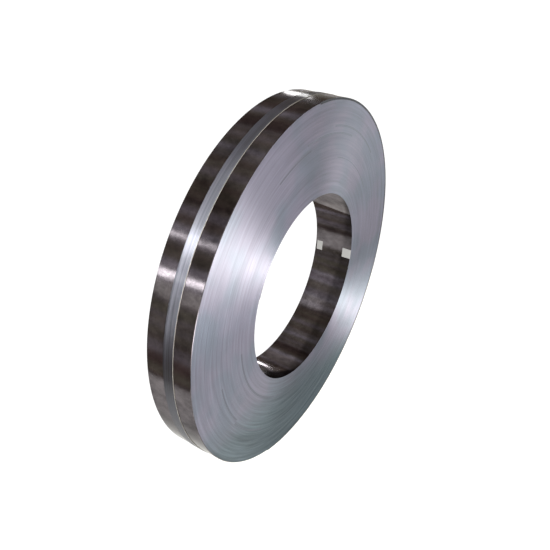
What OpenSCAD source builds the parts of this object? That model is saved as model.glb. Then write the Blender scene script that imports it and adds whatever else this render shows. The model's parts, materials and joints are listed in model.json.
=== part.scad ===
// Slit steel coil standing on its rim, held by one steel strap round the middle of the rim.
// The coil's axis runs along Y, the origin is the centre of the bore, and +Z is up.

/* [Coil] */
// Diameter of the bore, set by the mandrel that the strip was wound on
bore_d = 610; // [400:1:800]
// Diameter over the outermost turn
coil_d = 1176; // [1000:1:1600]
// Width of the slit strip
strip_w = 143; // [80:1:300]
// Thickness of the strip
strip_t = 3; // [2:0.1:6]
// Turns from one joint that shows on the coil's ends to the next
joint_turns = 4; // [3:1:10]
// Bevel that slitting leaves on both edges of the strip
edge_bevel = 0.6; // [0.2:0.05:0.8]

/* [Strap] */
// Width of the strap
strap_w = 32; // [19:1:50]
// Thickness of the strap
strap_t = 1.3; // [0.6:0.1:2]
// Length over which the end of the strap laps its beginning
lap_length = 130; // [90:1:200]
// Clock angle of the lap and the seal, from the top of the coil towards +X
seal_clock = 68; // [0:1:359]

/* [Seal] */
// Length of the seal along the strap
seal_length = 57; // [40:1:80]
// Thickness of the seal's sheet
seal_t = 1.5; // [0.8:0.1:2.5]
// Play between the edges of the strap and the seal's legs
seal_play = 0.2; // [0.1:0.05:0.5]
// Width of one crimp notch
notch_w = 9; // [5:1:12]
// Depth of one crimp notch into the seal's edge
notch_depth = 4; // [2:0.5:8]

/* [Hidden] */

$fn = 180;
cut_overrun = 1;

bore_r = bore_d / 2;
coil_r = coil_d / 2;
half_w = strip_w / 2;
land_count = round((coil_r - bore_r) / (joint_turns * strip_t));
land_pitch = (coil_r - bore_r) / land_count;

strap_top_r = coil_r + strap_t;
lap_top_r = strap_top_r + strap_t;
lap_angle = arc_angle(lap_length, strap_top_r);

seal_top_r = lap_top_r + seal_t;
seal_angle = arc_angle(seal_length, lap_top_r);
seal_slot_w = strap_w + 2 * seal_play;
seal_w = seal_slot_w + 2 * seal_t;
// Places of the crimp notches along the seal, as shares of its length from its middle
notch_shares = [-0.24, 0.24];

// Angle in degrees of an arc of the given length and radius
function arc_angle(length, radius) = length / radius * 180 / PI;

// Radius of the joint at which land number i begins
function joint_r(i) = bore_r + i * land_pitch;

// One end of the coil from the bore to the rim: a land for each few turns, bevelled at its two joints
function turn_ends() = [
    for (i = [0 : land_count - 1]) each [
        [joint_r(i), half_w - edge_bevel],
        [joint_r(i) + edge_bevel, half_w],
        [joint_r(i + 1) - edge_bevel, half_w]
    ],
    [coil_r, half_w - edge_bevel]
];

// The same end turned over, from the rim back to the bore
function far_turn_ends() = [
    let (ends = turn_ends())
    for (i = [len(ends) - 1 : -1 : 0]) [ends[i].x, -ends[i].y]
];

// Lays a shape turned about Z along the coil's axis, with its own +Z towards the front
module along_axis() {
    rotate([90, 0, 0]) children();
}

// Turns a section through part of a turn, centred on a clock angle
module clock_arc(clock, angle) {
    along_axis()
        rotate([0, 0, 90 - clock - angle / 2])
            rotate_extrude(angle = angle) children();
}

// A flat section that lies across the rim, from one radius to another
module rim_section(inner_r, outer_r, width) {
    translate([inner_r, -width / 2]) square([outer_r - inner_r, width]);
}

// The wound strip: one turned solid whose turns show on both ends
module coil() {
    color([0.58, 0.6, 0.66])
        along_axis()
            rotate_extrude() polygon(concat(turn_ends(), far_turn_ends()));
}

// The strap: once round the rim, and two layers thick where it laps its own beginning
module strap() {
    color([0.42, 0.42, 0.46])
        difference() {
            along_axis() rotate_extrude() rim_section(coil_r, lap_top_r, strap_w);
            clock_arc(seal_clock + 180, 360 - lap_angle)
                rim_section(strap_top_r, lap_top_r + cut_overrun, strap_w + 2 * cut_overrun);
        }
}

// One pair of crimp notches, cut into both edges of the seal at a share of its length
module notch_pair(share) {
    turn = 90 - seal_clock + share * seal_angle;
    reach = seal_top_r - coil_r + 2 * cut_overrun;
    off_middle = (seal_w + notch_w) / 2 - notch_depth;
    along_axis()
        rotate([0, 0, turn])
            for (side = [-1, 1])
                translate([coil_r - cut_overrun, 0, side * off_middle])
                    rotate([0, 90, 0]) cylinder(d = notch_w, h = reach);
}

// The seal: a channel pressed over both layers of the strap and crimped at its edges
module strap_seal() {
    color([0.5, 0.5, 0.52])
        difference() {
            clock_arc(seal_clock, seal_angle)
                difference() {
                    rim_section(coil_r, seal_top_r, seal_w);
                    rim_section(coil_r - cut_overrun, lap_top_r, seal_slot_w);
                }
            for (share = notch_shares) notch_pair(share);
        }
}

coil();
strap();
strap_seal();
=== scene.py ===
"""Dresses a strapped coil of slit steel strip, standing on its rim, and sets a plain studio round it.

The strip is one true spiral, so both of its ends show: the start in the bore and the tail on the rim.
Lengths are in metres. Clock angles are in degrees and run from the top of the coil towards +X.
"""

import json
import math

import bpy
import numpy as np
from mathutils import Matrix, Vector


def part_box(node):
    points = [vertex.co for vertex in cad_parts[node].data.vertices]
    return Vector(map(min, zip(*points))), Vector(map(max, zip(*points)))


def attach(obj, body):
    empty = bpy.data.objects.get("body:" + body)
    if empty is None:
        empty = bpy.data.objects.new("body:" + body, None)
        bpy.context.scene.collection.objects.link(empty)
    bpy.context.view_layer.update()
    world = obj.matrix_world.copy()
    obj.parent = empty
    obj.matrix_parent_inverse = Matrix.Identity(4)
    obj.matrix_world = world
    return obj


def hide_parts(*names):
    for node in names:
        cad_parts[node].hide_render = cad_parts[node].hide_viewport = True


bl_info = {
    "name": "Steel coil",
    "version": (1, 0, 0),
    "blender": (4, 5, 0),
    "location": "3D View > Sidebar > Steel coil",
    "description": "Makes a strapped coil of slit steel strip and a plain studio for it",
    "category": "Object",
}

MM = 0.001
FULL_TURN = 360.0
QUARTER_TURN = 90.0

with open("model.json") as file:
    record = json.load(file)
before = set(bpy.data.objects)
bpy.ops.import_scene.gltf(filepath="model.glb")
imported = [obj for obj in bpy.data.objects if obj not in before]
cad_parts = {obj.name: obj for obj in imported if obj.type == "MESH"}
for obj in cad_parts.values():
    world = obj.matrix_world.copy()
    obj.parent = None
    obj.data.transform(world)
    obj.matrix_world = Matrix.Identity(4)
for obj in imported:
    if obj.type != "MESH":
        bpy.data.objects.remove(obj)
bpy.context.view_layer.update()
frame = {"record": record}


# Sizes read from the frame

def mount_named(name):
    """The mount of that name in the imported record."""
    return next(m for m in frame["record"]["mounts"] if m["name"] == name)


coil_low, coil_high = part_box("coil")
strap_low, strap_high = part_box("strap")
seal_low, seal_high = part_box("strap_seal")

RIM_R = (coil_high[2] - coil_low[2]) / 2
BORE_R = mount_named("bore")["dims"]["r_mm"] * MM
COIL_WIDTH = coil_high[1] - coil_low[1]
STRAP_WIDTH = strap_high[1] - strap_low[1]
STRAP_THICKNESS = -strap_low[2] - RIM_R
SEAL_WIDTH = seal_high[1] - seal_low[1]
SEAL_CLOCK = math.degrees(math.atan2(seal_low[0] + seal_high[0], seal_low[2] + seal_high[2]))
FLOOR_Z = strap_low[2]


# Colours

def linear(hex_colour):
    """A colour written as sRGB hex, as the linear values that shaders take."""
    parts = [int(hex_colour[i:i + 2], 16) / 255 for i in (1, 3, 5)]
    return tuple(c / 12.92 if c <= 0.04045 else ((c + 0.055) / 1.055) ** 2.4 for c in parts)


WHITE = linear("#FFFFFF")


def opaque(colour, share=1.0):
    """A share of a colour, with its alpha, as a colour socket takes it."""
    return (*(share * c for c in colour), 1.0)


# Settings that a user would change

class StripSettings(bpy.types.PropertyGroup):
    """The wound strip."""

    thickness: bpy.props.FloatProperty(
        name="Strip thickness", description="Thickness of the strip, and so the pitch of its turns",
        default=3 * MM, min=2 * MM, max=6 * MM, unit="LENGTH", precision=4)
    bevel: bpy.props.FloatProperty(
        name="Edge bevel", description="Bevel that slitting leaves on both edges of the strip",
        default=0.5 * MM, min=0.1 * MM, max=1 * MM, unit="LENGTH", precision=4)
    wander: bpy.props.FloatProperty(
        name="Wander", description="How far a turn commonly stands out of line with its neighbours",
        default=0.06 * MM, min=0.0, max=1 * MM, unit="LENGTH", precision=5)
    tail_clock: bpy.props.FloatProperty(
        name="Tail", description="Clock angle at which the outer end of the strip lies, in degrees",
        default=205.0, min=0.0, max=FULL_TURN)
    last_turn_share: bpy.props.FloatProperty(
        name="Last turn", description="Share of a turn that the strip makes beyond its whole turns",
        default=0.75, min=0.0, max=1.0)
    segments: bpy.props.IntProperty(
        name="Segments", description="Steps in one turn of the strip",
        default=160, min=60, max=160)
    edge_colour: bpy.props.FloatVectorProperty(
        name="Slit edge", description="Colour of the slit edges that make up the coil's ends",
        default=linear("#808693"), subtype="COLOR", min=0.0, max=1.0)
    bloom_colour: bpy.props.FloatVectorProperty(
        name="Slit edge bloom", description="Colour of the paler patches on the slit edges",
        default=linear("#8B8A99"), subtype="COLOR", min=0.0, max=1.0)
    # Painted shade: the darker, greener colour of the lower slit edges
    shaded_low_colour: bpy.props.FloatVectorProperty(
        name="Slit edge painted with shade low down",
        description="Colour of the slit edges low on the coil, painted darker and greener as shade",
        default=linear("#6A777F"), subtype="COLOR", min=0.0, max=1.0)
    face_colour: bpy.props.FloatVectorProperty(
        name="Rolled face", description="Colour of the strip's bright face",
        default=linear("#5A5659"), subtype="COLOR", min=0.0, max=1.0)
    dull_colour: bpy.props.FloatVectorProperty(
        name="Dull face", description="Colour of the dull length of strip at the top of the bore",
        default=linear("#696669"), subtype="COLOR", min=0.0, max=1.0)


class StrapSettings(bpy.types.PropertyGroup):
    """The strap and its seal."""

    lap: bpy.props.FloatProperty(
        name="Lap", description="Length over which the end of the strap laps its beginning",
        default=130 * MM, min=90 * MM, max=200 * MM, unit="LENGTH")
    seal_length: bpy.props.FloatProperty(
        name="Seal length", description="Length of the seal along the strap",
        default=57 * MM, min=40 * MM, max=80 * MM, unit="LENGTH")
    seal_sheet: bpy.props.FloatProperty(
        name="Seal sheet", description="Thickness of the seal's sheet",
        default=1.5 * MM, min=0.8 * MM, max=2.5 * MM, unit="LENGTH", precision=4)
    crimp_depth: bpy.props.FloatProperty(
        name="Crimp depth", description="How far each crimp presses the edges of seal and strap in",
        default=2.5 * MM, min=1 * MM, max=5 * MM, unit="LENGTH", precision=4)
    colour: bpy.props.FloatVectorProperty(
        name="Strapping", description="Colour of the rolled strapping",
        default=linear("#505158"), subtype="COLOR", min=0.0, max=1.0)
    # Painted highlight: the pale colour of the strap's front edge
    edge_colour: bpy.props.FloatVectorProperty(
        name="Strapping edge", description="Colour of the strapping's front edge, painted pale as a highlight",
        default=linear("#76736F"), subtype="COLOR", min=0.0, max=1.0)
    seal_colour: bpy.props.FloatVectorProperty(
        name="Seal", description="Colour of the plated seal",
        default=linear("#A8A8A6"), subtype="COLOR", min=0.0, max=1.0)


class TapeSettings(bpy.types.PropertyGroup):
    """The two tabs of tape in the bore."""

    clock: bpy.props.FloatProperty(
        name="Clock", description="Clock angle of both tabs, in degrees",
        default=97.5, min=0.0, max=FULL_TURN)
    width: bpy.props.FloatProperty(
        name="Width", description="Width of the tape, round the bore",
        default=35 * MM, min=15 * MM, max=60 * MM, unit="LENGTH")
    thickness: bpy.props.FloatProperty(
        name="Thickness", description="Thickness of the tape",
        default=0.4 * MM, min=0.1 * MM, max=1 * MM, unit="LENGTH", precision=5)
    colour: bpy.props.FloatVectorProperty(
        name="Tape", description="Colour of the paper tape",
        default=linear("#838488"), subtype="COLOR", min=0.0, max=1.0)


class StageSettings(bpy.types.PropertyGroup):
    """Floor, light and camera."""

    floor_colour: bpy.props.FloatVectorProperty(
        name="Floor", description="Colour of the floor",
        default=linear("#E2E4E8"), subtype="COLOR", min=0.0, max=1.0)
    floor_glow: bpy.props.FloatProperty(
        name="Floor glow", description="Light that comes up through the floor",
        default=0.2, min=0.0, max=2.0)
    room_strength: bpy.props.FloatProperty(
        name="Room", description="Strength of the light from the dim room",
        default=1.5, min=0.0, max=5.0)
    paper_strength: bpy.props.FloatProperty(
        name="White paper", description="Strength of the white backdrop that the camera looks at",
        default=1.1, min=0.0, max=5.0)
    window_strength: bpy.props.FloatProperty(
        name="Window", description="Strength of the wide soft light behind the camera",
        default=1.5, min=0.0, max=5.0)
    flash_strength: bpy.props.FloatProperty(
        name="Flash", description="Strength of the light that comes from far behind the camera",
        default=3.92, min=0.0, max=20.0)
    panel_strength: bpy.props.FloatProperty(
        name="Panels", description="Brightness of the soft light panels",
        default=1.0, min=0.0, max=10.0)
    tube_strength: bpy.props.FloatProperty(
        name="Tubes", description="Brightness of the tube lights that the rim and the bore mirror",
        default=12.5, min=0.0, max=50.0)
    lens: bpy.props.FloatProperty(
        name="Lens", description="Focal length on a 36 mm frame, in millimetres",
        default=37.96, min=20.0, max=120.0)


# Shapes

# Edges that turn by more than this, in degrees, stay sharp
SHARP_ANGLE = 30.0


def on_clock(clock, radius, y):
    """Points at clock angles, radii and places along the axis: x is the radius times the angle's sine, and z
    is the radius times its cosine."""
    turn = np.radians(clock)
    parts = np.broadcast_arrays(radius * np.sin(turn), y, radius * np.cos(turn))
    return np.stack(parts, axis=-1)


def grid_quads(numbers):
    """Quads of a grid of vertex numbers: each point with the next in its row and the next in its column."""
    corners = (numbers[:-1, :-1], numbers[:-1, 1:], numbers[1:, 1:], numbers[1:, :-1])
    return np.stack(corners, axis=-1).reshape(-1, 4)


def flipped(faces):
    """The same faces, seen from their other side."""
    return np.flip(faces, axis=1)


def swept(points):
    """The faces of a tube from a grid of points: each row is a closed section, and both ends are capped by
    quads from each point of the section to its opposite in the list. Rows run on clockwise, and sections
    anticlockwise."""
    rows, count = points.shape[:2]
    numbers = np.arange(rows * count).reshape(rows, count)
    side = grid_quads(np.column_stack((numbers, numbers[:, 0])))
    pairs = np.stack((np.arange(count // 2), count - 1 - np.arange(count // 2)))
    cap = grid_quads(pairs)
    return np.concatenate((side, numbers[0][flipped(cap)], numbers[-1][cap]))


def make_piece(name, points, faces, materials):
    """A mesh object from arrays: its points, and one array of quads for each material."""
    corners = np.concatenate(faces)
    slots = np.repeat(np.arange(len(faces)), [len(f) for f in faces])
    mesh = bpy.data.meshes.new(name)
    mesh.vertices.add(len(points))
    mesh.vertices.foreach_set("co", points.astype(np.float32).ravel())
    mesh.loops.add(corners.size)
    mesh.loops.foreach_set("vertex_index", corners.astype(np.int32).ravel())
    mesh.polygons.add(len(corners))
    mesh.polygons.foreach_set("loop_start", np.arange(0, corners.size, corners.shape[1], dtype=np.int32))
    for material in materials:
        mesh.materials.append(material)
    mesh.polygons.foreach_set("material_index", slots.astype(np.int32))
    mesh.update(calc_edges=True)
    mesh.shade_smooth()
    mesh.set_sharp_from_angle(angle=math.radians(SHARP_ANGLE))
    piece = bpy.data.objects.new(name, mesh)
    bpy.context.scene.collection.objects.link(piece)
    return piece


def hand_over(piece, slot, *nodes):
    """Puts a finished piece on the frame: its body and the nodes that it stands for, which it hides. The slot
    is not used.
    """
    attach(piece, "root")
    if nodes:
        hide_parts(*nodes)


# Turns that the wall has room for but the strip doesn't make: one for its thickness, one for its part turn
SPARE_TURNS = 2


class Spiral:
    """The strip's path: step m is at clock start + 360 m / segments and radius bore + pitch m / segments."""

    def __init__(self, settings):
        turns = round((RIM_R - BORE_R) / settings.thickness) - SPARE_TURNS + settings.last_turn_share
        self.segments = settings.segments
        self.steps = round(turns * self.segments)
        self.pitch = (RIM_R - BORE_R) / (self.steps / self.segments + 1)
        self.tail_clock = settings.tail_clock
        self.start_clock = settings.tail_clock - FULL_TURN * self.steps / self.segments

    def clock(self, m):
        """Clock angle of step m, counted on through all the turns."""
        return self.start_clock + FULL_TURN * m / self.segments

    def radius(self, m):
        """Radius of the inner side of the strip at step m."""
        return BORE_R + self.pitch * m / self.segments

    def bore(self, clock):
        """Radius of the bore at a clock angle: it grows by one pitch in a turn on from the strip's start."""
        return BORE_R + self.pitch * np.mod(clock - self.start_clock, FULL_TURN) / FULL_TURN

    def rim(self, clock):
        """Radius of the rim at a clock angle: it falls by one pitch in a turn back from the tail."""
        return RIM_R - self.pitch * np.mod(self.tail_clock - clock, FULL_TURN) / FULL_TURN

    def under_strap(self, clock):
        """Radius that a tight strap lies on: the rim, and a straight run from the tail to the turn below."""
        low = RIM_R - self.pitch
        return np.maximum(self.rim(clock), straight_run(low, RIM_R, clock - self.tail_clock))


def straight_run(low, high, past):
    """Radius of a tight band at an angle past a corner at the high radius: low over the cosine of the angle
    that is left to the point where the band meets the low radius."""
    reach = math.degrees(math.acos(low / high))
    left = np.clip(reach - np.mod(past, FULL_TURN), 0.0, reach)
    return low / np.cos(np.radians(left))


# The coil

# The wander's seed and its knots in one turn, and how far an edge tilts as a share of the wander
WANDER_SEED = 7
WANDER_KNOTS = 5
TILT_SHARE = 0.25
# Lengths painted darker as shade for the dark gaps between turns, and nearly black lengths: share of the
# rim's radius, first and last clock angle, and number of turns
SHADED_GAP_ARCS = (
    (0.625, 205.0, 270.0, 2),
    (0.705, 20.0, 60.0, 1),
    (0.788, 336.0, 357.0, 2),
    (0.790, 240.0, 262.0, 2),
    (0.810, 216.0, 240.0, 2),
    (0.822, 355.0, 388.0, 2),
    (0.858, 12.0, 52.0, 2),
    (0.930, 60.0, 100.0, 1),
)
NEAR_BLACK_ARCS = (
    (0.988, 2.0, 75.0, 3),
    (0.983, 75.0, 150.0, 3),
    (0.988, 150.0, 200.0, 2),
)
# Bevel of the outermost turn, whose corner shows the rolled face
RIM_BEVEL = 1.3 * MM
# How far the strip lies inside each end of the coil, which leaves room for turns that stand out
SIDE_PLAY = 0.8 * MM
# Rows of points across the rim and the bore
WRAP_ROWS = 9


def turn_wander(spiral, size):
    """How far each step of the strip stands back from the front, and how far its edge tilts: seeded noise
    along the strip, with straight runs between knots."""
    random = np.random.default_rng(WANDER_SEED)
    steps = np.arange(spiral.steps + 1)
    knots = np.arange(0, spiral.steps + spiral.segments, spiral.segments / WANDER_KNOTS)
    stand_back = size * np.interp(steps, knots, random.normal(size=len(knots)))
    tilt = size * TILT_SHARE * np.interp(steps, knots, random.normal(size=len(knots)))
    return stand_back, tilt


def steps_in(arcs, spiral):
    """Which steps of the strip lie in any of the arcs."""
    turns = np.arange(spiral.steps) / spiral.segments
    found = np.zeros(spiral.steps, dtype=bool)
    for share, first, last, count in arcs:
        turns_before = math.floor((share * RIM_R - BORE_R) / spiral.pitch)
        past = turns - turns_before - (first - spiral.start_clock) % FULL_TURN / FULL_TURN
        found |= (past >= 0) & (past < count) & (np.mod(past, 1.0) < (last - first) / FULL_TURN)
    return found


def coil_surface(settings):
    """The strip as one closed surface: both slit edges of every turn with the two cut ends, then the lengths
    painted darker as shade for the gaps between turns and the nearly black lengths, and then all mirror-like
    faces, outside the last turn and inside the first. Each edge is a land between two bevels, and neighbours
    share a groove."""
    spiral = Spiral(settings)
    lap = spiral.segments
    edge = np.arange(spiral.steps + 1)
    groove = np.arange(spiral.steps + lap + 1)
    stand_back, tilt = turn_wander(spiral, settings.wander)
    no_turn = np.full(lap, -np.inf)
    outer_bevel = np.where(groove < spiral.steps, settings.bevel, RIM_BEVEL)
    half = COIL_WIDTH / 2 - SIDE_PLAY

    def end_points(side):
        """One end: its grooves first, then the inner and then the outer side of each land."""
        inward = -side * stand_back
        sunk = np.maximum(np.append(inward, no_turn), np.append(no_turn, inward))
        near = spiral.radius(edge) + settings.bevel
        far = spiral.radius(edge) + spiral.pitch - outer_bevel[lap:]
        return np.concatenate((
            on_clock(spiral.clock(groove), spiral.radius(groove), side * (half - sunk - outer_bevel)),
            on_clock(spiral.clock(edge), near, side * (half - inward - tilt)),
            on_clock(spiral.clock(edge), far, side * (half - inward + tilt)),
        ))

    front = end_points(-1)
    back = end_points(1)
    count = len(front)
    near_land = len(groove) + edge
    far_land = near_land + len(edge)
    inner, land, outer = (grid_quads(np.stack(band)) for band in (
        (groove[:len(edge)], near_land), (near_land, far_land), (far_land, groove[lap:])))
    # Steps painted darker as shade for the gaps between turns, and nearly black steps
    in_shaded_gaps = steps_in(SHADED_GAP_ARCS, spiral)
    near_black = steps_in(NEAR_BLACK_ARCS, spiral)
    last_turn = edge[:-1] >= spiral.steps - lap
    end_faces = np.concatenate((inner[~near_black], land[~(in_shaded_gaps | near_black)], outer[~(last_turn | near_black)]))
    shaded_gap_faces = land[in_shaded_gaps & ~near_black]
    near_black_faces = np.concatenate((inner[near_black], land[near_black], outer[near_black]))
    corner = outer[last_turn & ~near_black]

    def wrap(steps, first_number):
        """Points across the strip between its front and back grooves, and the grid of the wrap's vertices."""
        share = np.linspace(0.0, 1.0, WRAP_ROWS)[1:-1, None, None]
        between = front[steps] + share * (back[steps] - front[steps])
        inside = first_number + np.arange(between.shape[0] * len(steps)).reshape(-1, len(steps))
        return between.reshape(-1, 3), np.vstack((steps, inside, steps + count))

    def cut_end(grid, step):
        """The cut end of the strip, between a wrap's first and last columns, facing back down the strip."""
        tips = [
            [grid[0, -1], grid[0, 0], near_land[step], far_land[step]],
            [grid[-1, 0], grid[-1, -1], far_land[step] + count, near_land[step] + count],
        ]
        return np.concatenate((grid_quads(grid[:, [0, -1]]), tips))

    bore_points, bore = wrap(groove[:lap + 1], 2 * count)
    rim_points, rim = wrap(groove[-lap - 1:], 2 * count + len(bore_points))
    groups = (
        (end_faces, flipped(end_faces + count), cut_end(bore, 0), flipped(cut_end(rim, spiral.steps))),
        (shaded_gap_faces, flipped(shaded_gap_faces + count)),
        (near_black_faces, flipped(near_black_faces + count)),
        (grid_quads(rim), corner, flipped(corner + count), flipped(grid_quads(bore))),
    )
    points = np.concatenate((front, back, bore_points, rim_points))
    return points, [np.concatenate(group) for group in groups]


# The strap, its seal and the tape

# Step of the strap and the tape on the clock
CLOCK_STEP = 0.5
# Gap that keeps each layer of strap, seal and tape clear of the one below
STRAP_LIFT = 0.05 * MM
STRAP_ROUND = 0.15 * MM
# Width of the margin along the strap's front edge, painted pale as a highlight
STRAP_MARGIN = 0.6 * MM
SEAL_STEPS = 61
SEAL_ROUND = 1.2 * MM
# Places of the crimps along the seal, as shares of its length from its middle, and the length of one crimp
CRIMP_SHARES = (-0.24, 0.24)
CRIMP_LENGTH = 9 * MM
CORNER_STEPS = 4
# The tabs' two ends along the axis, as shares of the coil's width from its front
TAPE_SHARES = ((0.003, 0.235), (0.80, 0.955))


def rounded_corner(centre, radius, first):
    """Points of a quarter circle across the rim, as places along the axis and heights, from a first angle."""
    turn = np.radians(np.linspace(first, first + QUARTER_TURN, CORNER_STEPS))
    return np.column_stack((centre[0] + radius * np.cos(turn), centre[1] + radius * np.sin(turn)))


def crimp(clock, settings):
    """How far the crimps press an edge in at a clock angle: a bell for each crimp, one crimp length wide."""
    along = np.radians(clock - SEAL_CLOCK) * RIM_R
    places = [share * settings.seal_length for share in CRIMP_SHARES]
    bells = (np.exp(-((along - place) / (CRIMP_LENGTH / 2)) ** 2) for place in places)
    return settings.crimp_depth * sum(bells)


def carried(section, half, clock, low, settings):
    """Points of a section carried along the clock at low radii. The crimps press it in: each place along the
    axis shrinks by the share that the crimp's depth is of the section's half width."""
    squeeze = 1.0 - crimp(np.mod(clock, FULL_TURN), settings) / half
    return on_clock(clock[:, None], low[:, None] + section[:, 1], squeeze[:, None] * section[:, 0])


def strap_surface(settings, spiral):
    """The strap: a thin rounded section carried once round the rim, up onto its own beginning and on over it.
    The margin at the front, with its edge, is the second group of faces, painted pale as a highlight."""
    lap_angle = math.degrees(settings.lap / RIM_R)
    run = np.arange(0.0, FULL_TURN + lap_angle, CLOCK_STEP)
    clock = SEAL_CLOCK - lap_angle / 2 + run
    rise = STRAP_THICKNESS + STRAP_LIFT
    climb = straight_run(RIM_R, RIM_R + rise, FULL_TURN - run) - RIM_R
    lift = np.where(run >= FULL_TURN, rise, np.where(run > FULL_TURN / 2, climb, 0.0))
    low = spiral.under_strap(clock) + STRAP_LIFT + lift
    half = STRAP_WIDTH / 2
    corners = ((1, 0), (1, 1), (-1, 1), (-1, 0))
    rounds = [
        rounded_corner(
            (side * (half - STRAP_ROUND), STRAP_ROUND + top * (STRAP_THICKNESS - 2 * STRAP_ROUND)),
            STRAP_ROUND, (number - 1) * QUARTER_TURN)
        for number, (side, top) in enumerate(corners)]
    # Corners of the front and back margins; the front one carries the painted highlight
    margin_corners = [[[side * (half - STRAP_MARGIN), top * STRAP_THICKNESS]] for side, top in corners]
    section = np.concatenate((margin_corners[0], rounds[0], rounds[1], margin_corners[1], margin_corners[2], rounds[2], rounds[3], margin_corners[3]))
    points = carried(section, half, clock, low, settings)
    faces = swept(points)
    across = np.arange(len(faces)) % len(section)
    front = (across >= len(section) // 2) & (across < len(section) - 1)
    return points.reshape(-1, 3), [faces[~front], faces[front]]


def seal_surface(settings, spiral):
    """The seal: a channel section carried along the lap, and pressed in at its crimps."""
    reach = math.degrees(settings.seal_length / RIM_R) / 2
    clock = np.linspace(SEAL_CLOCK - reach, SEAL_CLOCK + reach, SEAL_STEPS)
    half = SEAL_WIDTH / 2
    sheet = settings.seal_sheet
    top = STRAP_LIFT + 2 * (STRAP_THICKNESS + STRAP_LIFT) + sheet
    outer = np.concatenate((
        [[half, STRAP_LIFT]],
        rounded_corner((half - SEAL_ROUND, top - SEAL_ROUND), SEAL_ROUND, 0.0),
        rounded_corner((SEAL_ROUND - half, top - SEAL_ROUND), SEAL_ROUND, QUARTER_TURN),
        [[-half, STRAP_LIFT]],
    ))
    inner_share = np.array([(half - sheet) / half, (top - sheet) / top])
    section = np.concatenate((outer, (outer * inner_share)[::-1]))
    points = carried(section, half, clock, spiral.under_strap(clock), settings)
    return points.reshape(-1, 3), swept(points)


def tape_surface(settings, spiral, shares):
    """One tab of tape: a flat section along the axis, carried a little way round the bore."""
    reach = math.degrees(settings.width / BORE_R) / 2
    clock = np.arange(settings.clock - reach, settings.clock + reach, CLOCK_STEP)
    y_first, y_last = (share * COIL_WIDTH - COIL_WIDTH / 2 for share in shares)
    y = np.array([y_last, y_last, y_first, y_first])
    depth = np.array([settings.thickness, 0.0, 0.0, settings.thickness]) + STRAP_LIFT
    points = on_clock(clock[:, None], spiral.bore(clock)[:, None] - depth, y)
    return points.reshape(-1, 3), swept(points)


# Materials

# Numbers of a Mix node's colour sockets: the colours at factor 0 and factor 1, and the result
MIX_FROM = 6
MIX_TO = 7
MIX_RESULT = 2
# Factors that drop the part of a place or a direction that lies along the coil's axis
DROP_AXIS = (1.0, 0.0, 1.0)
# Turn of the anisotropy that spreads light across a surface's lines, as a share of a whole turn
SPREAD_TURN_SHARE = 0.25
# How bright a dark mirror is at a glancing angle, as a share of white
GLANCING_SHARE = 0.55


def add_node(tree, kind, inputs=None, **settings):
    """Adds a node, sets its settings, and gives each named or numbered input a value or a link."""
    made = tree.nodes.new(kind)
    for name, value in settings.items():
        setattr(made, name, value)
    for name, value in (inputs or {}).items():
        if isinstance(value, bpy.types.NodeSocket):
            tree.links.new(value, made.inputs[name])
        else:
            made.inputs[name].default_value = value
    return made


def new_material(name):
    """An empty node material and its tree."""
    material = bpy.data.materials.new(name)
    material.use_nodes = True
    material.node_tree.nodes.clear()
    return material, material.node_tree


def finish_material(tree, inputs):
    """Ends a material's tree in a Principled shader with the given inputs."""
    shader = add_node(tree, "ShaderNodeBsdfPrincipled", inputs)
    add_node(tree, "ShaderNodeOutputMaterial", {"Surface": shader.outputs["BSDF"]})


def off_axis(tree, place):
    """Distance of a place from the coil's axis."""
    flat = add_node(tree, "ShaderNodeVectorMath", {0: place, 1: DROP_AXIS}, operation="MULTIPLY")
    length = add_node(tree, "ShaderNodeVectorMath", {0: flat.outputs["Vector"]}, operation="LENGTH")
    return length.outputs["Value"]


def rising_along(tree, place, direction, reach):
    """A value that rises smoothly from 0 to 1 between two distances along a direction."""
    run = add_node(tree, "ShaderNodeVectorMath", {0: place, 1: direction}, operation="DOT_PRODUCT")
    rise = add_node(tree, "ShaderNodeMapRange", {
        "Value": run.outputs["Value"], "From Min": reach[0], "From Max": reach[1]},
        interpolation_type="SMOOTHSTEP")
    return rise.outputs[0]


# Size of a streak on the slit edges, across the turns and along them, and size of a paler patch
STREAK_ACROSS = 7 * MM
STREAK_ALONG = 220 * MM
PATCH_SIZE = 150 * MM
# Spans of their noise in which the streaks and the edges of the patches lie
STREAK_SPAN = (0.3, 0.7)
PATCH_SPAN = (0.38, 0.62)
# Darkest and palest streak, as shares of the steel's colour, on the upper edges and on the lower, shaded
# edges
UPPER_STREAK_SHARES = (0.87, 1.11)
LOWER_STREAK_SHARES = (0.7, 1.3)
# Direction towards the lower slit edges, which are painted darker as shade, and how far along it the
# shade begins and is heaviest
LOW_SHADE_DIRECTION = (-0.26, 0.0, -0.97)
LOW_SHADE_REACH = (0.28, 0.43)


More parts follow.
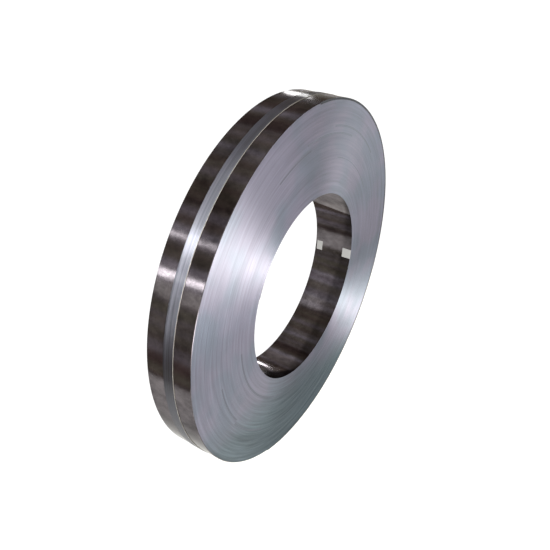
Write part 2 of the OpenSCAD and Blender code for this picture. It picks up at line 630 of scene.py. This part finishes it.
def slit_edge_steel(settings):
    """Slit edges of bright strip. Shearing leaves fine lines along each edge, so light spreads across them
    and stands in two wedges over the coil's end. Turns differ a little in brightness, and paler patches lie
    over many turns. The lower turns are painted darker and greener as shade, and their streaks are stronger."""
    material, tree = new_material("Slit edges of bright steel strip")
    place = add_node(tree, "ShaderNodeTexCoord").outputs["Object"]
    split = add_node(tree, "ShaderNodeSeparateXYZ", {0: place})
    across = add_node(tree, "ShaderNodeMath", {
        0: off_axis(tree, place), 1: STREAK_ACROSS}, operation="DIVIDE")
    along_x, along_z = (
        add_node(tree, "ShaderNodeMath", {0: split.outputs[axis], 1: STREAK_ALONG}, operation="DIVIDE")
        for axis in ("X", "Z"))
    arcs = add_node(tree, "ShaderNodeCombineXYZ", {
        "X": across.outputs[0], "Y": along_x.outputs[0], "Z": along_z.outputs[0]})
    streaks = add_node(tree, "ShaderNodeTexNoise", {
        "Vector": arcs.outputs[0], "Scale": 1.0, "Detail": 5.0, "Roughness": 0.6})
    # Painted shade over the lower turns
    painted_shade = rising_along(tree, place, LOW_SHADE_DIRECTION, LOW_SHADE_REACH)
    darkest, palest = (
        add_node(tree, "ShaderNodeMapRange", {"Value": painted_shade, "To Min": upper_share, "To Max": lower_share})
        for upper_share, lower_share in zip(UPPER_STREAK_SHARES, LOWER_STREAK_SHARES))
    shade = add_node(tree, "ShaderNodeMapRange", {
        "Value": streaks.outputs["Fac"], "From Min": STREAK_SPAN[0], "From Max": STREAK_SPAN[1],
        "To Min": darkest.outputs[0], "To Max": palest.outputs[0]})
    patches = add_node(tree, "ShaderNodeTexNoise", {"Vector": place, "Scale": 1 / PATCH_SIZE, "Detail": 2.0})
    bloom = add_node(tree, "ShaderNodeMapRange", {
        "Value": patches.outputs["Fac"], "From Min": PATCH_SPAN[0], "From Max": PATCH_SPAN[1]},
        interpolation_type="SMOOTHSTEP")
    metal = add_node(tree, "ShaderNodeMix", {
        "Factor": bloom.outputs[0],
        MIX_FROM: opaque(settings.edge_colour), MIX_TO: opaque(settings.bloom_colour)}, data_type="RGBA")
    # The lower turns take the painted shade's darker, greener colour
    shaded_metal = add_node(tree, "ShaderNodeMix", {
        "Factor": painted_shade,
        MIX_FROM: metal.outputs[MIX_RESULT], MIX_TO: opaque(settings.shaded_low_colour)}, data_type="RGBA")
    colour = add_node(tree, "ShaderNodeVectorMath", {
        0: shaded_metal.outputs[MIX_RESULT], "Scale": shade.outputs[0]}, operation="SCALE")
    rough = add_node(tree, "ShaderNodeMapRange", {
        "Value": streaks.outputs["Fac"], "From Min": STREAK_SPAN[0], "From Max": STREAK_SPAN[1],
        "To Min": 0.65, "To Max": 0.61})
    tangent = add_node(tree, "ShaderNodeTangent", direction_type="RADIAL", axis="Y")
    finish_material(tree, {
        "Base Color": colour.outputs["Vector"], "Metallic": 1.0, "Roughness": rough.outputs[0],
        "Anisotropic": 0.9, "Anisotropic Rotation": SPREAD_TURN_SHARE, "Tangent": tangent.outputs[0]})
    return material


# Colours of the edges painted darker as shade for the gaps between turns and of the nearly black edges,
# as shares of the plain edge's
SHADED_GAP_SHARE = 0.6
NEAR_BLACK_SHARE = 0.12


def shaded_gap_edge_steel(settings):
    """Slit edge painted darker and duller as shade, for the dark gaps between turns."""
    material, tree = new_material("Slit edge with painted shade")
    finish_material(tree, {
        "Base Color": opaque(settings.edge_colour, SHADED_GAP_SHARE), "Metallic": 1.0, "Roughness": 0.55})
    return material


def near_black_edge(settings):
    """Corner of the outermost turns, made nearly black, and dull."""
    material, tree = new_material("Nearly black dull steel")
    finish_material(tree, {
        "Base Color": opaque(settings.edge_colour, NEAR_BLACK_SHARE),
        "Roughness": 0.7, "Specular IOR Level": 0.2})
    return material


# Size of a bar of stain on the rolled face, round the coil and across the strip
STAIN_ROUND = 80 * MM
STAIN_ACROSS = 120 * MM
# Span of its noise in which the stain lies, and the darkest and palest stain as shares of the steel's colour
STAIN_SPAN = (0.35, 0.65)
STAIN_SHARES = (0.5, 1.5)
# Size of a wave that rolling leaves, round the coil and across the strip, and its depth
WAVE_ROUND = 50 * MM
WAVE_ACROSS = 30 * MM
WAVE_DEPTH = 0.25 * MM
# Direction in which the bore grows dull towards its top, and how far along it that begins and is whole
DULL_DIRECTION = (0.0, -0.14, 1.0)
DULL_REACH = (0.138, 0.150)
# Direction of the painted shade inside the bore's front edge, how far along it the shade begins and is
# heaviest, and how dark it is there
BORE_SHADE_DIRECTION = (0.1, -1.0, -0.1)
BORE_SHADE_REACH = (0.057, 0.077)
BORE_SHADE_SHARE = 0.6


def rolled_face_steel(settings):
    """The strip's rolled face: bright annealed, so it mirrors the room, with bars of stain across its width
    and a slight wave from rolling. The length at the top of the bore is made duller and a little paler, so
    that the lamps light it as a pale patch, and a painted shade darkens the bore inside its front edge."""
    material, tree = new_material("Bright rolled steel strip")
    place = add_node(tree, "ShaderNodeTexCoord").outputs["Object"]
    bars = add_node(tree, "ShaderNodeMapping", {
        "Vector": place, "Scale": (1 / STAIN_ROUND, 1 / STAIN_ACROSS, 1 / STAIN_ROUND)})
    stain = add_node(tree, "ShaderNodeTexNoise", {
        "Vector": bars.outputs[0], "Scale": 1.0, "Detail": 6.0, "Roughness": 0.78})
    tint = add_node(tree, "ShaderNodeMapRange", {
        "Value": stain.outputs["Fac"], "From Min": STAIN_SPAN[0], "From Max": STAIN_SPAN[1],
        "To Min": STAIN_SHARES[0], "To Max": STAIN_SHARES[1]})
    inside = add_node(tree, "ShaderNodeMath", {
        0: off_axis(tree, place), 1: (BORE_R + RIM_R) / 2}, operation="LESS_THAN")
    # Painted shade inside the bore's front edge, and the duller, paler patch at the top of the bore
    painted_shade, top_patch = (
        add_node(tree, "ShaderNodeMath", {
            0: inside.outputs[0], 1: rising_along(tree, place, direction, reach)}, operation="MULTIPLY")
        for direction, reach in ((BORE_SHADE_DIRECTION, BORE_SHADE_REACH), (DULL_DIRECTION, DULL_REACH)))
    # What the painted shade inside the bore's front edge leaves of the colour
    clear = add_node(tree, "ShaderNodeMapRange", {
        "Value": painted_shade.outputs[0], "To Min": 1.0, "To Max": BORE_SHADE_SHARE})
    # The duller, paler patch at the top of the bore, less where the painted shade lies
    dull = add_node(tree, "ShaderNodeMath", {
        0: top_patch.outputs[0], 1: clear.outputs[0]}, operation="MULTIPLY").outputs[0]
    shade = add_node(tree, "ShaderNodeMath", {0: tint.outputs[0], 1: clear.outputs[0]}, operation="MULTIPLY")
    metal = add_node(tree, "ShaderNodeMix", {
        "Factor": dull,
        MIX_FROM: opaque(settings.face_colour), MIX_TO: opaque(settings.dull_colour)}, data_type="RGBA")
    colour = add_node(tree, "ShaderNodeVectorMath", {
        0: metal.outputs[MIX_RESULT], "Scale": shade.outputs[0]}, operation="SCALE")
    metallic = add_node(tree, "ShaderNodeMapRange", {"Value": dull, "To Min": 1.0, "To Max": 0.2})
    rough = add_node(tree, "ShaderNodeMapRange", {"Value": dull, "To Min": 0.13, "To Max": 0.6})
    wave = add_node(tree, "ShaderNodeMapping", {
        "Vector": place, "Scale": (1 / WAVE_ROUND, 1 / WAVE_ACROSS, 1 / WAVE_ROUND)})
    swell = add_node(tree, "ShaderNodeTexNoise", {"Vector": wave.outputs[0], "Scale": 1.0, "Detail": 2.0})
    bump = add_node(tree, "ShaderNodeBump", {
        "Height": swell.outputs["Fac"], "Strength": 1.0, "Distance": WAVE_DEPTH})
    finish_material(tree, {
        "Base Color": colour.outputs["Vector"], "Metallic": metallic.outputs[0],
        "Roughness": rough.outputs[0], "Normal": bump.outputs[0],
        "Specular Tint": opaque(WHITE, GLANCING_SHARE)})
    return material


# Size of a line on the strapping, along it and across, drawn coarser than a real one so that it shows
LINE_ALONG = 500 * MM
LINE_ACROSS = 3 * MM
# Span of their noise in which the lines lie, and the darkest and palest line as shares of the steel's colour
LINE_SPAN = (0.35, 0.65)
LINE_SHARES = (0.75, 1.25)


def strapping_steel(settings):
    """Rolled steel strapping: satin, with fine lines along its length, and waxed so that it slides when it is
    drawn tight."""
    material, tree = new_material("Satin steel strapping")
    place = add_node(tree, "ShaderNodeTexCoord").outputs["Object"]
    lines = add_node(tree, "ShaderNodeMapping", {
        "Vector": place, "Scale": (1 / LINE_ALONG, 1 / LINE_ACROSS, 1 / LINE_ALONG)})
    grain = add_node(tree, "ShaderNodeTexNoise", {"Vector": lines.outputs[0], "Scale": 1.0, "Detail": 3.0})
    darkest, palest = (opaque(settings.colour, share) for share in LINE_SHARES)
    paleness = add_node(tree, "ShaderNodeMapRange", {
        "Value": grain.outputs["Fac"], "From Min": LINE_SPAN[0], "From Max": LINE_SPAN[1]},
        interpolation_type="SMOOTHSTEP")
    colour = add_node(tree, "ShaderNodeMix", {
        "Factor": paleness.outputs[0], MIX_FROM: darkest, MIX_TO: palest}, data_type="RGBA")
    rough = add_node(tree, "ShaderNodeMapRange", {
        "Value": grain.outputs["Fac"], "From Min": LINE_SPAN[0], "From Max": LINE_SPAN[1],
        "To Min": 0.28, "To Max": 0.6})
    tangent = add_node(tree, "ShaderNodeTangent", direction_type="RADIAL", axis="Y")
    finish_material(tree, {
        "Base Color": colour.outputs[MIX_RESULT], "Metallic": 1.0, "Roughness": rough.outputs[0],
        "Specular Tint": opaque(WHITE, GLANCING_SHARE), "Coat Weight": 0.2, "Coat Roughness": 0.1,
        "Anisotropic": 0.92, "Anisotropic Rotation": SPREAD_TURN_SHARE, "Tangent": tangent.outputs[0]})
    return material


def highlighted_edge_steel(settings):
    """Front edge of the strapping, painted a pale grey and less metallic as a highlight."""
    material, tree = new_material("Strapping edge with painted highlight")
    finish_material(tree, {"Base Color": opaque(settings.edge_colour), "Metallic": 0.3, "Roughness": 0.5})
    return material


def mottled(tree, colour, shares, size, detail):
    """A colour that varies between two shares of itself, in soft patches of a size."""
    place = add_node(tree, "ShaderNodeTexCoord").outputs["Object"]
    patches = add_node(tree, "ShaderNodeTexNoise", {"Vector": place, "Scale": 1 / size, "Detail": detail})
    darkest, palest = (opaque(colour, share) for share in shares)
    mottle = add_node(tree, "ShaderNodeMix", {
        "Factor": patches.outputs["Fac"], MIX_FROM: darkest, MIX_TO: palest}, data_type="RGBA")
    return mottle.outputs[MIX_RESULT]


# Size of the mottle on the seal, and its darkest and palest parts as shares of the plating's colour
MOTTLE_SIZE = 8 * MM
MOTTLE_SHARES = (0.8, 1.1)


def plated_seal(settings):
    """Pressed sheet steel with a dull zinc plating, a little mottled."""
    material, tree = new_material("Zinc plated pressed steel")
    colour = mottled(tree, settings.seal_colour, MOTTLE_SHARES, MOTTLE_SIZE, detail=3.0)
    finish_material(tree, {"Base Color": colour, "Metallic": 1.0, "Roughness": 0.4})
    return material


# Size of the tape's crepe, and its darkest and palest parts as shares of the paper's colour
CREPE_SIZE = 3 * MM
CREPE_SHARES = (0.92, 1.0)


def paper_tape(settings):
    """White paper tape, given a grey colour: matt, with a faint crepe."""
    material, tree = new_material("White paper tape")
    colour = mottled(tree, settings.colour, CREPE_SHARES, CREPE_SIZE, detail=2.0)
    finish_material(tree, {"Base Color": colour, "Roughness": 0.75})
    return material


def pale_floor(settings):
    """A plain white floor of frosted plastic, lit from below so that shadows stay faint."""
    material, tree = new_material("Frosted white floor")
    finish_material(tree, {
        "Base Color": opaque(settings.floor_colour), "Roughness": 0.9, "Specular IOR Level": 0.0,
        "Emission Color": opaque(WHITE), "Emission Strength": settings.floor_glow})
    return material


# Operators

class STEELCOIL_OT_coil(bpy.types.Operator):
    """Makes the wound strip, in place of the plain turned coil"""

    bl_idname = "steelcoil.coil"
    bl_label = "Make the coil"

    def execute(self, context):
        settings = context.scene.steelcoil_strip
        points, faces = coil_surface(settings)
        metals = [
            slit_edge_steel(settings), shaded_gap_edge_steel(settings), near_black_edge(settings),
            rolled_face_steel(settings)]
        hand_over(make_piece("wound_strip", points, faces, metals), "strip_steel", "coil")
        return {"FINISHED"}


class STEELCOIL_OT_strap(bpy.types.Operator):
    """Makes the strap round the rim and the seal that closes it"""

    bl_idname = "steelcoil.strap"
    bl_label = "Make the strap"

    def execute(self, context):
        settings = context.scene.steelcoil_strap
        spiral = Spiral(context.scene.steelcoil_strip)
        points, faces = strap_surface(settings, spiral)
        metals = [strapping_steel(settings), highlighted_edge_steel(settings)]
        hand_over(make_piece("steel_strap", points, faces, metals), "strap_steel", "strap")
        points, faces = seal_surface(settings, spiral)
        seal = make_piece("crimped_seal", points, [faces], [plated_seal(settings)])
        hand_over(seal, "seal_steel", "strap_seal")
        return {"FINISHED"}


class STEELCOIL_OT_tape(bpy.types.Operator):
    """Makes the two tabs of tape at the edges of the bore"""

    bl_idname = "steelcoil.tape"
    bl_label = "Make the tape"

    def execute(self, context):
        settings = context.scene.steelcoil_tape
        spiral = Spiral(context.scene.steelcoil_strip)
        material = paper_tape(settings)
        for name, shares in zip(("front_tape_tab", "back_tape_tab"), TAPE_SHARES):
            points, faces = tape_surface(settings, spiral, shares)
            hand_over(make_piece(name, points, [faces], [material]), "strip_steel")
        return {"FINISHED"}


# The photograph's view: azimuth and elevation, and where the front end's middle lies for it, in rim radii
VIEW_AZIMUTH = -57.6
VIEW_ELEVATION = 34.6
VIEW_RIGHT_SHARE = 0.1838
VIEW_DOWN_SHARE = 0.0682
VIEW_AHEAD_SHARE = 3.1356
# The floor's two sheets, from near to far corner; behind the coil there is none, so no shadow shows there
FLOOR_SHEETS = (
    ((-1.15, -2.2), (-0.35, 1.7)),
    ((-0.35, -1.0), (3.2, 0.12)),
)
PLAIN_LIGHT = "#FFFFFF"
WARM_LIGHT = "#FFFCF3"
FLASH_LIGHT = "#FFFCE9"
# The flash: how far above the camera it shines from, as a share of its distance, and the angle that it fills
FLASH_ABOVE_SHARE = 0.03
FLASH_ANGLE = 6.0
# The window: the cosines of the angle off the camera at which it begins and is whole
WINDOW_COSINES = (0.6, 0.95)
# Fineness of the room's bars, and their tints from the darkest to the palest part of the noise
ROOM_FINENESS = 6.0
ROOM_TINTS = (
    (0.38, "#38242A"),
    (0.44, "#7C6862"),
    (0.5, "#8E8C76"),
    (0.56, "#A99FA8"),
    (0.62, "#DCDAE2"),
)
# Tubes: radius and clock of the mirroring face, clock width, distance, two ends in half widths, brightness
TUBES = (
    (RIM_R, 301.2, 2.2, 1.0, -1.3, 1.3, 1.0),
    (RIM_R, 297.3, 4.6, 1.05, -1.3, 1.3, 0.10),
    (RIM_R, 310.5, 1.2, 1.0, -1.3, 1.3, 0.5),
    (RIM_R, 6.0, 3.6, 4.0, -0.2, 0.93, 1.0),
    (BORE_R, 204.0, 1.2, 2.0, 0.2, 0.85, 3.0),
    (BORE_R, 138.0, 7.0, 2.0, 0.0, 0.95, 0.2),
    (BORE_R, 188.0, 9.0, 2.0, -0.8, 0.95, 0.05),
)
# Angle of the tubes' beams, which keeps them off other faces
TUBE_BEAM = 24.0
# Directions in which the lengths of the panels run; the second follows the rim at the strap's highlight
UP = (0.0, 0.0, 1.0)
ALONG_RIM = (0.643, 0.0, 0.766)
ALONG_AXIS = (0.0, 1.0, 0.0)
# Panels: place, target, direction of the length, width, length, beam, colour and brightness
PANELS = {
    "right_panel": ((2.5, -1.05, -0.45), (0.0, -0.07, 0.5), UP, 1.1, 0.8, 45.0, PLAIN_LIGHT, 4.7),
    "corner_panel": ((1.755, -0.84, -0.48), (0.345, -0.07, 0.289), UP, 0.4, 0.14, 40.0, PLAIN_LIGHT, 14.5),
    "left_panel": ((1.5, -2.5, 0.7), (0.0, -0.07, 0.7), UP, 1.8, 1.2, 50.0, PLAIN_LIGHT, 8.1),
    "low_panel": ((-1.24, -1.05, -0.17), (-0.45, -0.07, 0.1), UP, 0.3, 0.75, 40.0, PLAIN_LIGHT, 13.5),
    "front_panel": (
        (-0.71, -1.15, 0.59), (-0.35, -0.07, 0.29), ALONG_RIM, 0.25, 1.0, 180.0, WARM_LIGHT, 24.0),
    "strap_panel": ((-1.37, 0.0, 1.15), (-0.45, 0.0, 0.378), ALONG_RIM, 0.12, 3.6, 180.0, PLAIN_LIGHT, 60.0),
    "strap_spot": ((-1.33, 0.0, 1.12), (-0.45, 0.0, 0.378), ALONG_RIM, 0.12, 0.16, 60.0, PLAIN_LIGHT, 400.0),
    "top_panel": ((0.38, 0.25, 2.0), (-0.2, 0.0, 0.55), ALONG_AXIS, 2.0, 0.4, 60.0, PLAIN_LIGHT, 5.0),
}
# Panels that shine on the strap alone
STRAP_LIGHTS = ("strap_panel", "strap_spot")


def floor_surface():
    """The floor's sheets: one quad for each, from its near to its far corner."""
    corners = [
        (x, y, FLOOR_Z)
        for near, far in FLOOR_SHEETS
        for x, y in (near, (far[0], near[1]), far, (near[0], far[1]))]
    return np.array(corners), np.arange(len(corners)).reshape(len(FLOOR_SHEETS), -1)


def view_axes():
    """The camera's right, down and forward directions."""
    azimuth = math.radians(VIEW_AZIMUTH)
    elevation = math.radians(VIEW_ELEVATION)
    right = Vector((math.cos(azimuth), math.sin(azimuth), 0.0))
    level = Vector((-math.sin(azimuth), math.cos(azimuth), 0.0))
    forward = level * math.cos(elevation) - Vector(UP) * math.sin(elevation)
    return right, forward.cross(right), forward


def aim(thing, place, direction, along=UP):
    """Puts a light or camera at a place, looking along a direction, with its own Y turned towards another."""
    back = -Vector(direction).normalized()
    side = Vector(along).cross(back).normalized()
    turn = Matrix((side, back.cross(side), back)).transposed()
    thing.matrix_world = Matrix.Translation(place) @ turn.to_4x4()


def add_camera(scene, lens):
    """The camera, where it sees the coil as the photograph does, and its place."""
    right, down, forward = view_axes()
    front = Vector((0.0, -COIL_WIDTH / 2, 0.0))
    seen = VIEW_RIGHT_SHARE * right + VIEW_DOWN_SHARE * down + VIEW_AHEAD_SHARE * forward
    eye = front - RIM_R * seen
    data = bpy.data.cameras.new("camera")
    data.lens = lens
    camera = bpy.data.objects.new("camera", data)
    scene.collection.objects.link(camera)
    aim(camera, eye, forward)
    return camera, eye


def add_light(name, kind, place, direction, along=UP, **settings):
    """A light at a place, shining along a direction."""
    data = bpy.data.lights.new(name, kind)
    for key, value in settings.items():
        setattr(data, key, value)
    light = bpy.data.objects.new(name, data)
    bpy.context.scene.collection.objects.link(light)
    aim(light, place, direction, along)
    return light


def add_panel(name, place, target, along, width, length, beam, colour, brightness):
    """A flat light, turned to a place. A beam that is narrowed to a half angle h is brighter on its axis by
    the tangent of h over the tangent less h, so the power is divided by that."""
    half = math.radians(beam) / 2
    gain = math.tan(half) / (math.tan(half) - half)
    power = brightness * math.pi * width * length / gain
    return add_light(
        name, "AREA", place, Vector(target) - Vector(place), along, shape="RECTANGLE",
        size=width, size_y=length, spread=math.radians(beam), color=linear(colour), energy=power)


def mirrored(radius, clock, y, distance, eye):
    """The place in the room, at a distance from the rim or bore, that the camera sees mirrored in it at a
    clock angle: the ray from the eye, thrown back by the surface."""
    outward = Vector(on_clock(clock, 1.0, 0.0))
    place = Vector(on_clock(clock, radius, y))
    ray = (place - eye).normalized()
    return place + distance * (ray - 2 * ray.dot(outward) * outward)


def add_tube(radius, clock, width, distance, first_share, last_share, brightness, eye):
    """A tube light that lies where the camera sees it mirrored as a straight bar across the rim or bore. A
    turn on the clock turns the mirrored ray twice as far, so the tube's width is twice the angle times its
    distance."""
    ends = [share * COIL_WIDTH / 2 for share in (first_share, last_share)]
    first, last = (mirrored(radius, clock, y, distance, eye) for y in ends)
    along = last - first
    add_panel(
        "tube", (first + last) / 2, on_clock(clock, radius, sum(ends) / 2), along,
        2 * math.radians(width) * distance, along.length, TUBE_BEAM, PLAIN_LIGHT, brightness)


def dim_room(settings, forward):
    """The room as a world: dim bars of brown, olive and purple round the coil's axis and a wide window behind
    the camera. What is seen past the coil is plain white."""
    world = bpy.data.worlds.new("room")
    world.use_nodes = True
    tree = world.node_tree
    tree.nodes.clear()
    way = add_node(tree, "ShaderNodeTexCoord").outputs["Generated"]
    flat = add_node(tree, "ShaderNodeVectorMath", {0: way, 1: DROP_AXIS}, operation="MULTIPLY")
    round_axis = add_node(tree, "ShaderNodeVectorMath", {0: flat.outputs["Vector"]}, operation="NORMALIZE")
    bars = add_node(tree, "ShaderNodeTexNoise", {
        "Vector": round_axis.outputs["Vector"], "Scale": ROOM_FINENESS, "Detail": 4.0, "Roughness": 0.7})
    tint = add_node(tree, "ShaderNodeValToRGB", {"Fac": bars.outputs["Fac"]})
    darkest, *between, palest = ROOM_TINTS
    ramp = tint.color_ramp.elements
    for element, (position, colour) in zip(ramp, (darkest, palest)):
        element.position = position
        element.color = opaque(linear(colour))
    for position, colour in between:
        ramp.new(position).color = opaque(linear(colour))
    dim = add_node(tree, "ShaderNodeBackground", {
        "Color": tint.outputs["Color"], "Strength": settings.room_strength})
    white, glow = (
        add_node(tree, "ShaderNodeBackground", {"Color": opaque(WHITE), "Strength": strength})
        for strength in (settings.paper_strength, settings.window_strength))
    window = rising_along(tree, way, -forward, WINDOW_COSINES)
    lit = add_node(tree, "ShaderNodeMixShader", {0: window, 1: dim.outputs[0], 2: glow.outputs[0]})
    seen = add_node(tree, "ShaderNodeLightPath").outputs["Is Camera Ray"]
    all_round = add_node(tree, "ShaderNodeMixShader", {0: seen, 1: lit.outputs[0], 2: white.outputs[0]})
    add_node(tree, "ShaderNodeOutputWorld", {"Surface": all_round.outputs[0]})
    return world


class STEELCOIL_OT_stage(bpy.types.Operator):
    """Makes the floor, the light and the camera; the strap has to be there"""

    bl_idname = "steelcoil.stage"
    bl_label = "Make the stage"

    def execute(self, context):
        scene = context.scene
        settings = scene.steelcoil_stage
        points, faces = floor_surface()
        make_piece("floor", points, [faces], [pale_floor(settings)])

        scene.camera, eye = add_camera(scene, settings.lens)
        _, down, forward = view_axes()
        add_light(
            "flash", "SUN", eye, forward + FLASH_ABOVE_SHARE * down, energy=settings.flash_strength,
            angle=math.radians(FLASH_ANGLE), color=linear(FLASH_LIGHT))
        for *reflection, share in TUBES:
            add_tube(*reflection, share * settings.tube_strength, eye)
        strap_only = bpy.data.collections.new("strap_only")
        strap_only.objects.link(scene.objects["steel_strap"])
        for name, (*panel, brightness) in PANELS.items():
            light = add_panel(name, *panel, brightness * settings.panel_strength)
            if name in STRAP_LIGHTS:
                light.light_linking.receiver_collection = strap_only
        scene.world = dim_room(settings, forward)
        scene.view_settings.view_transform = "Standard"
        return {"FINISHED"}


class STEELCOIL_PT_pieces(bpy.types.Panel):
    """Lists the coil's pieces and their settings"""

    bl_idname = "STEELCOIL_PT_pieces"
    bl_label = "Steel coil"
    bl_space_type = "VIEW_3D"
    bl_region_type = "UI"
    bl_category = "Steel coil"

    def draw(self, context):
        for operator, group in PIECES:
            box = self.layout.box()
            settings = getattr(context.scene, group)
            for name in settings.__annotations__:
                box.prop(settings, name)
            box.operator(operator.bl_idname)


GROUPS = {
    "steelcoil_strip": StripSettings,
    "steelcoil_strap": StrapSettings,
    "steelcoil_tape": TapeSettings,
    "steelcoil_stage": StageSettings,
}
PIECES = (
    (STEELCOIL_OT_coil, "steelcoil_strip"),
    (STEELCOIL_OT_strap, "steelcoil_strap"),
    (STEELCOIL_OT_tape, "steelcoil_tape"),
    (STEELCOIL_OT_stage, "steelcoil_stage"),
)
CLASSES = (*GROUPS.values(), *(operator for operator, _ in PIECES), STEELCOIL_PT_pieces)


def register():
    """Adds the classes to Blender, and the settings to its scenes."""
    for each in CLASSES:
        bpy.utils.register_class(each)
    for name, group in GROUPS.items():
        setattr(bpy.types.Scene, name, bpy.props.PointerProperty(type=group))


def unregister():
    """Takes out what register added."""
    for name in GROUPS:
        delattr(bpy.types.Scene, name)
    for each in reversed(CLASSES):
        bpy.utils.unregister_class(each)


def main():
    """Makes every piece and the stage."""
    register()
    bpy.ops.steelcoil.coil()
    bpy.ops.steelcoil.strap()
    bpy.ops.steelcoil.tape()
    bpy.ops.steelcoil.stage()


if __name__ == "__main__":
    main()
